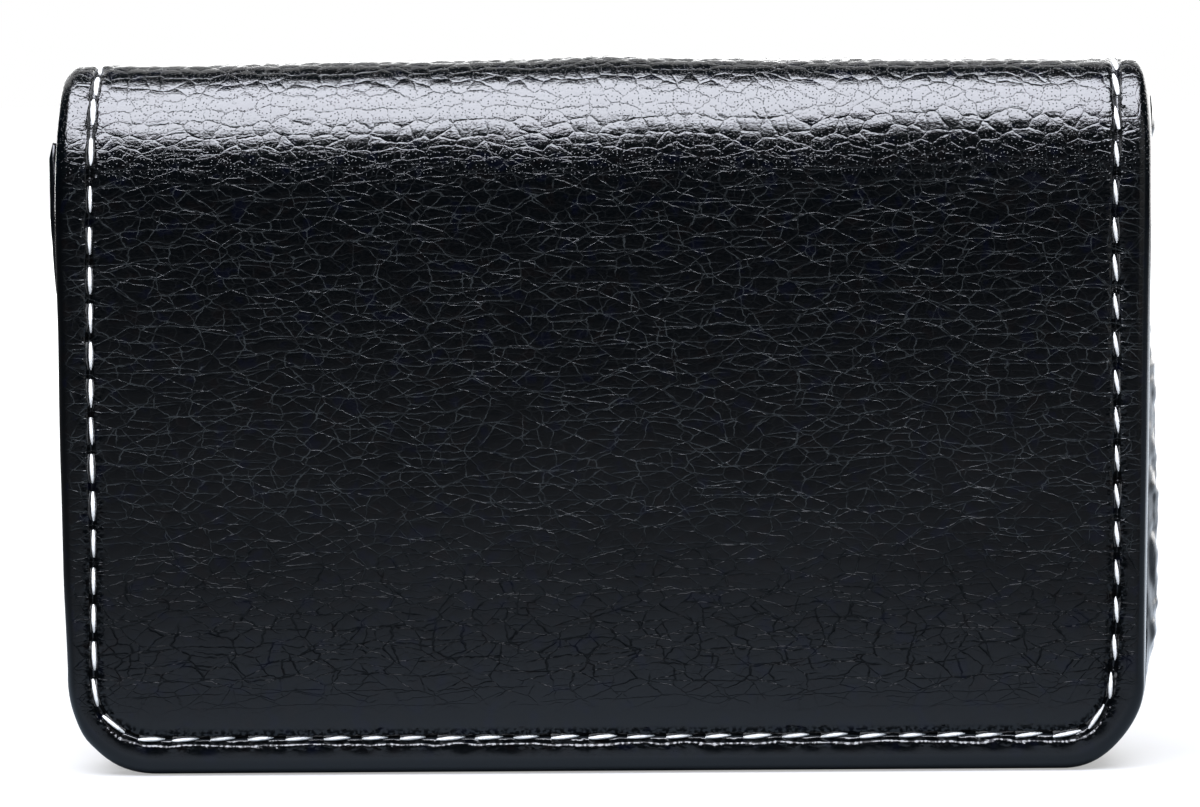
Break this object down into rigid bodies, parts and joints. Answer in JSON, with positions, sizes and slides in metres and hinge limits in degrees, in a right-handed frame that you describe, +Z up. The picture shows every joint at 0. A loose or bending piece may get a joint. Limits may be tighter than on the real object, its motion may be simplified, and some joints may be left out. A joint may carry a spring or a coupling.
{
  "type": "flip-top card holder",
  "caption": "Slim black leatherette card holder with a padded flip-over flap, contrast stitching, a gusseted card pocket and a hidden magnet closure.",
  "frame": {"origin": "on the surface that the closed case stands on, under the middle of its width and depth", "axes": "+X across the width, -Y out of the front flap, +Z up towards the folded roll"},
  "size_m": [0.1004, 0.015, 0.065],
  "materials": {
    "leatherette": "satin",
    "foam": "matte",
    "board": "matte",
    "lining": "matte",
    "thread": "satin",
    "magnet": "satin",
    "keeper_steel": "satin"
  },
  "bodies": {
    "case": {"back_skin": "leatherette", "back_foam": "foam", "back_board": "board", "back_lining": "lining", "back_thread": "thread", "gusset": "leatherette", "pocket_skin": "leatherette", "pocket_board": "board", "pocket_lining": "lining", "pocket_thread": "thread", "keeper": "keeper_steel"},
    "spine": {"spine_skin": "leatherette", "spine_foam": "foam", "spine_lining": "lining", "spine_thread_left": "thread", "spine_thread_right": "thread"},
    "flap": {"flap_skin": "leatherette", "flap_foam": "foam", "flap_board": "board", "flap_lining": "lining", "flap_thread": "thread", "slip_pocket": "leatherette", "magnet": "magnet"}
  },
  "joints": [
    {"name": "spine_fold", "type": "hinge", "parent": "case", "child": "spine", "pos_m": [0, 0.00482, 0.06278], "axis": [-1, 0, 0], "range_deg": [0, 90]},
    {"name": "flap_fold", "type": "hinge", "parent": "spine", "child": "flap", "pos_m": [0, -0.00482, 0.06278], "axis": [-1, 0, 0], "range_deg": [0, 90]}
  ]
}
